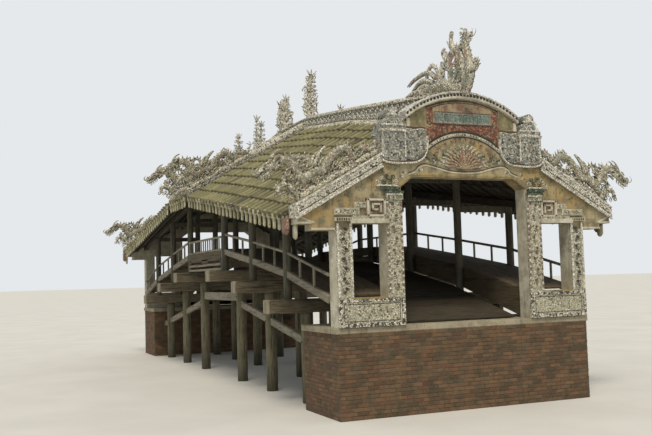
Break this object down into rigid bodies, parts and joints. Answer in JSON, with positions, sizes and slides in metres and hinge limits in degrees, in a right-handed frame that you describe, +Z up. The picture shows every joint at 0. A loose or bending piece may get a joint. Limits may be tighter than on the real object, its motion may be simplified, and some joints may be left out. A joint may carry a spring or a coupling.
{
  "type": "covered timber footbridge",
  "caption": "Arched timber footbridge under a tiled roof, with masonry gable portals, side benches, open railings and mosaic dragons along the ridges.",
  "frame": {"origin": "middle of the footprint at the stream bed, under the middle bay", "axes": "+Y along the bridge, +X across it with the altar balcony on the -X side, +Z up"},
  "size_m": [8.9466, 20.0924, 8.9],
  "materials": {
    "brick": "matte",
    "plaster": "matte",
    "mosaic": "glazed",
    "pier_timber": "weathered",
    "timber": "weathered",
    "roof_tile": "weathered glaze"
  },
  "bodies": {
    "root": {"abutment_far": "brick", "abutment_near": "brick", "balcony": "timber", "bench_left": "timber", "bench_right": "timber", "bent_1": "pier_timber", "bent_2": "pier_timber", "bent_3": "pier_timber", "bent_4": "pier_timber", "bent_5": "pier_timber", "bent_6": "pier_timber", "frame_1": "timber", "frame_2": "timber", "frame_3": "timber", "frame_4": "timber", "frame_5": "timber", "frame_6": "timber", "lower_ties": "timber", "middle_dragons_far": "mosaic", "middle_dragons_near": "mosaic", "portal_far_head": "plaster", "portal_far_left": "plaster", "portal_far_mouldings": "mosaic", "portal_far_right": "plaster", "portal_near_head": "plaster", "portal_near_left": "plaster", "portal_near_mouldings": "mosaic", "portal_near_right": "plaster", "purlins": "timber", "railing_left": "timber", "railing_right": "timber", "rake_dragons_far": "mosaic", "rake_dragons_near": "mosaic", "raking_band_far": "mosaic", "raking_band_near": "mosaic", "ridge_band": "mosaic", "ridge_dragon_far": "mosaic", "ridge_dragon_near": "mosaic", "roof_far_left": "roof_tile", "roof_far_right": "roof_tile", "roof_middle_left": "roof_tile", "roof_middle_right": "roof_tile", "roof_near_left": "roof_tile", "roof_near_right": "roof_tile", "walkway": "timber"}
  },
  "joints": []
}
